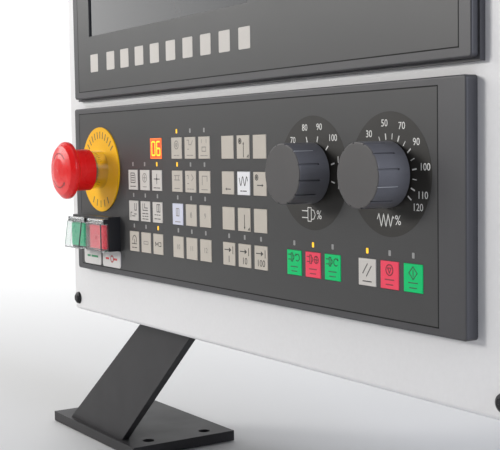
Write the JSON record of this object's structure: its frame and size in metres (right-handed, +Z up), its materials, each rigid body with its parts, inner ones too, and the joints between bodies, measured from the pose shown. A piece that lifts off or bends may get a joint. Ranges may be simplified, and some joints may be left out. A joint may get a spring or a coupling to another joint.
{
  "type": "cnc lathe control panel",
  "caption": "Operator station of a turning lathe: key panel with stop button and override dials, screen unit and cabinet on an arm.",
  "frame": {"origin": "middle of the arm foot's underside, at the centre of its bolt holes", "axes": "+Z up, -Y towards the operator, +X to the operator's right"},
  "size_m": [0.564, 0.1879, 0.527],
  "materials": {
    "cabinet_paint": "light grey fine-textured powder coat",
    "black_screw": "blackened steel",
    "panel_grey": "dark grey satin moulding",
    "film_grey": "dark grey fine-textured film",
    "screen_glass": "dark screen behind an anti-glare face",
    "board_green": "solder-masked board",
    "plated_metal": "bright plated",
    "disc_yellow": "signal yellow",
    "black_plastic": "black moulding",
    "plate_white": "engraving plate, rounded corners",
    "arm_paint": "dark grey paint",
    "key_cream": "warm light grey cap",
    "key_white": "near-white cap",
    "key_green": "green cap",
    "key_red": "red cap",
    "stop_red": "signal red",
    "knob_grey": "dark grey knob with a pale index line",
    "clear_plastic": "clear flip cover",
    "button_green": "translucent green button",
    "button_red": "translucent red button"
  },
  "bodies": {
    "base": {"cabinet_shell": "cabinet_paint", "rear_cover": "cabinet_paint", "case_screws": "black_screw", "operator_frame": "panel_grey", "operator_film": "film_grey", "display_screen": "screen_glass", "panel_frame": "panel_grey", "panel_film": "film_grey", "circuit_board": "board_green", "override_encoders": "plated_metal", "estop_disc": "disc_yellow", "estop_collar": "plated_metal", "estop_contact_block": "black_plastic", "power_switch_housing": "black_plastic", "label_plates": "plate_white", "support_arm": "arm_paint", "blank_caps": "key_cream"},
    "estop_stem": {"estop_stem": "black_plastic"},
    "estop_head": {"estop_head": "stop_red"},
    "spindle_knob": {"spindle_knob": "knob_grey"},
    "feed_knob": {"feed_knob": "knob_grey"},
    "power_on_cover": {"power_on_cover": "clear_plastic"},
    "power_off_cover": {"power_off_cover": "clear_plastic"},
    "power_on_button": {"power_on_button": "button_green"},
    "power_off_button": {"power_off_button": "button_red"},
    "program_key_1": {"program_key_1": "key_cream"},
    "program_key_2": {"program_key_2": "key_cream"},
    "program_key_3": {"program_key_3": "key_cream"},
    "program_key_4": {"program_key_4": "key_cream"},
    "program_key_5": {"program_key_5": "key_cream"},
    "program_key_6": {"program_key_6": "key_cream"},
    "program_key_7": {"program_key_7": "key_cream"},
    "program_key_8": {"program_key_8": "key_cream"},
    "program_key_9": {"program_key_9": "key_cream"},
    "function_key_1": {"function_key_1": "key_cream"},
    "function_key_2": {"function_key_2": "key_cream"},
    "function_key_3": {"function_key_3": "key_cream"},
    "function_key_4": {"function_key_4": "key_cream"},
    "function_key_5": {"function_key_5": "key_cream"},
    "function_key_6": {"function_key_6": "key_cream"},
    "function_key_7": {"function_key_7": "key_cream"},
    "function_key_8": {"function_key_8": "key_cream"},
    "function_key_9": {"function_key_9": "key_cream"},
    "function_key_10": {"function_key_10": "key_cream"},
    "function_key_11": {"function_key_11": "key_cream"},
    "function_key_12": {"function_key_12": "key_cream"},
    "jog_up_key": {"jog_up_key": "key_cream"},
    "jog_left_key": {"jog_left_key": "key_cream"},
    "rapid_key": {"rapid_key": "key_white"},
    "jog_right_key": {"jog_right_key": "key_cream"},
    "jog_down_key": {"jog_down_key": "key_cream"},
    "step_fine_key": {"step_fine_key": "key_cream"},
    "step_middle_key": {"step_middle_key": "key_cream"},
    "step_coarse_key": {"step_coarse_key": "key_cream"},
    "spindle_left_key": {"spindle_left_key": "key_green"},
    "spindle_stop_key": {"spindle_stop_key": "key_red"},
    "spindle_right_key": {"spindle_right_key": "key_green"},
    "reset_key": {"reset_key": "key_white"},
    "cycle_stop_key": {"cycle_stop_key": "key_red"},
    "cycle_start_key": {"cycle_start_key": "key_green"}
  },
  "joints": [
    {"name": "estop_push", "type": "slide", "parent": "base", "child": "estop_stem", "axis": [0, 1, 0], "range_m": [0, 0.004]},
    {"name": "estop_twist", "type": "hinge", "parent": "estop_stem", "child": "estop_head", "pos_m": [0.0946, -0.075, 0.2197], "axis": [0, 1, 0], "range_deg": [0, 30], "stiffness_Nm_per_rad": 0.05},
    {"name": "spindle_override", "type": "hinge", "parent": "base", "child": "spindle_knob", "pos_m": [0.35105, -0.075, 0.2197], "axis": [0, 1, 0], "range_deg": [-180, 60]},
    {"name": "feed_override", "type": "hinge", "parent": "base", "child": "feed_knob", "pos_m": [0.4131, -0.075, 0.2197], "axis": [0, 1, 0], "range_deg": [-255, 15]},
    {"name": "power_on_cover_lift", "type": "hinge", "parent": "base", "child": "power_on_cover", "pos_m": [0.0778, -0.0861, 0.18395], "axis": [-1, 0, 0], "range_deg": [-8, 95]},
    {"name": "power_off_cover_lift", "type": "hinge", "parent": "base", "child": "power_off_cover", "pos_m": [0.1088, -0.0861, 0.18395], "axis": [-1, 0, 0], "range_deg": [0, 103]},
    {"name": "power_on_press", "type": "slide", "parent": "base", "child": "power_on_button", "axis": [0, 1, 0], "range_m": [0, 0.0025], "stiffness_N_per_m": 600},
    {"name": "power_off_press", "type": "slide", "parent": "base", "child": "power_off_button", "axis": [0, 1, 0], "range_m": [0, 0.0025], "stiffness_N_per_m": 600},
    {"name": "program_key_1_press", "type": "slide", "parent": "base", "child": "program_key_1", "axis": [0, 1, 0], "range_m": [0, 0.0006], "stiffness_N_per_m": 1200},
    {"name": "program_key_2_press", "type": "slide", "parent": "base", "child": "program_key_2", "axis": [0, 1, 0], "range_m": [0, 0.0006], "stiffness_N_per_m": 1200},
    {"name": "program_key_3_press", "type": "slide", "parent": "base", "child": "program_key_3", "axis": [0, 1, 0], "range_m": [0, 0.0006], "stiffness_N_per_m": 1200},
    {"name": "program_key_4_press", "type": "slide", "parent": "base", "child": "program_key_4", "axis": [0, 1, 0], "range_m": [0, 0.0006], "stiffness_N_per_m": 1200},
    {"name": "program_key_5_press", "type": "slide", "parent": "base", "child": "program_key_5", "axis": [0, 1, 0], "range_m": [0, 0.0006], "stiffness_N_per_m": 1200},
    {"name": "program_key_6_press", "type": "slide", "parent": "base", "child": "program_key_6", "axis": [0, 1, 0], "range_m": [0, 0.0006], "stiffness_N_per_m": 1200},
    {"name": "program_key_7_press", "type": "slide", "parent": "base", "child": "program_key_7", "axis": [0, 1, 0], "range_m": [0, 0.0006], "stiffness_N_per_m": 1200},
    {"name": "program_key_8_press", "type": "slide", "parent": "base", "child": "program_key_8", "axis": [0, 1, 0], "range_m": [0, 0.0006], "stiffness_N_per_m": 1200},
    {"name": "program_key_9_press", "type": "slide", "parent": "base", "child": "program_key_9", "axis": [0, 1, 0], "range_m": [0, 0.0006], "stiffness_N_per_m": 1200},
    {"name": "function_key_1_press", "type": "slide", "parent": "base", "child": "function_key_1", "axis": [0, 1, 0], "range_m": [0, 0.0006], "stiffness_N_per_m": 1200},
    {"name": "function_key_2_press", "type": "slide", "parent": "base", "child": "function_key_2", "axis": [0, 1, 0], "range_m": [0, 0.0006], "stiffness_N_per_m": 1200},
    {"name": "function_key_3_press", "type": "slide", "parent": "base", "child": "function_key_3", "axis": [0, 1, 0], "range_m": [0, 0.0006], "stiffness_N_per_m": 1200},
    {"name": "function_key_4_press", "type": "slide", "parent": "base", "child": "function_key_4", "axis": [0, 1, 0], "range_m": [0, 0.0006], "stiffness_N_per_m": 1200},
    {"name": "function_key_5_press", "type": "slide", "parent": "base", "child": "function_key_5", "axis": [0, 1, 0], "range_m": [0, 0.0006], "stiffness_N_per_m": 1200},
    {"name": "function_key_6_press", "type": "slide", "parent": "base", "child": "function_key_6", "axis": [0, 1, 0], "range_m": [0, 0.0006], "stiffness_N_per_m": 1200},
    {"name": "function_key_7_press", "type": "slide", "parent": "base", "child": "function_key_7", "axis": [0, 1, 0], "range_m": [0, 0.0006], "stiffness_N_per_m": 1200},
    {"name": "function_key_8_press", "type": "slide", "parent": "base", "child": "function_key_8", "axis": [0, 1, 0], "range_m": [0, 0.0006], "stiffness_N_per_m": 1200},
    {"name": "function_key_9_press", "type": "slide", "parent": "base", "child": "function_key_9", "axis": [0, 1, 0], "range_m": [0, 0.0006], "stiffness_N_per_m": 1200},
    {"name": "function_key_10_press", "type": "slide", "parent": "base", "child": "function_key_10", "axis": [0, 1, 0], "range_m": [0, 0.0006], "stiffness_N_per_m": 1200},
    {"name": "function_key_11_press", "type": "slide", "parent": "base", "child": "function_key_11", "axis": [0, 1, 0], "range_m": [0, 0.0006], "stiffness_N_per_m": 1200},
    {"name": "function_key_12_press", "type": "slide", "parent": "base", "child": "function_key_12", "axis": [0, 1, 0], "range_m": [0, 0.0006], "stiffness_N_per_m": 1200},
    {"name": "jog_up_key_press", "type": "slide", "parent": "base", "child": "jog_up_key", "axis": [0, 1, 0], "range_m": [0, 0.0006], "stiffness_N_per_m": 1200},
    {"name": "jog_left_key_press", "type": "slide", "parent": "base", "child": "jog_left_key", "axis": [0, 1, 0], "range_m": [0, 0.0006], "stiffness_N_per_m": 1200},
    {"name": "rapid_key_press", "type": "slide", "parent": "base", "child": "rapid_key", "axis": [0, 1, 0], "range_m": [0, 0.0006], "stiffness_N_per_m": 1200},
    {"name": "jog_right_key_press", "type": "slide", "parent": "base", "child": "jog_right_key", "axis": [0, 1, 0], "range_m": [0, 0.0006], "stiffness_N_per_m": 1200},
    {"name": "jog_down_key_press", "type": "slide", "parent": "base", "child": "jog_down_key", "axis": [0, 1, 0], "range_m": [0, 0.0006], "stiffness_N_per_m": 1200},
    {"name": "step_fine_key_press", "type": "slide", "parent": "base", "child": "step_fine_key", "axis": [0, 1, 0], "range_m": [0, 0.0006], "stiffness_N_per_m": 1200},
    {"name": "step_middle_key_press", "type": "slide", "parent": "base", "child": "step_middle_key", "axis": [0, 1, 0], "range_m": [0, 0.0006], "stiffness_N_per_m": 1200},
    {"name": "step_coarse_key_press", "type": "slide", "parent": "base", "child": "step_coarse_key", "axis": [0, 1, 0], "range_m": [0, 0.0006], "stiffness_N_per_m": 1200},
    {"name": "spindle_left_key_press", "type": "slide", "parent": "base", "child": "spindle_left_key", "axis": [0, 1, 0], "range_m": [0, 0.0006], "stiffness_N_per_m": 1200},
    {"name": "spindle_stop_key_press", "type": "slide", "parent": "base", "child": "spindle_stop_key", "axis": [0, 1, 0], "range_m": [0, 0.0006], "stiffness_N_per_m": 1200},
    {"name": "spindle_right_key_press", "type": "slide", "parent": "base", "child": "spindle_right_key", "axis": [0, 1, 0], "range_m": [0, 0.0006], "stiffness_N_per_m": 1200},
    {"name": "reset_key_press", "type": "slide", "parent": "base", "child": "reset_key", "axis": [0, 1, 0], "range_m": [0, 0.0006], "stiffness_N_per_m": 1200},
    {"name": "cycle_stop_key_press", "type": "slide", "parent": "base", "child": "cycle_stop_key", "axis": [0, 1, 0], "range_m": [0, 0.0006], "stiffness_N_per_m": 1200},
    {"name": "cycle_start_key_press", "type": "slide", "parent": "base", "child": "cycle_start_key", "axis": [0, 1, 0], "range_m": [0, 0.0006], "stiffness_N_per_m": 1200}
  ]
}
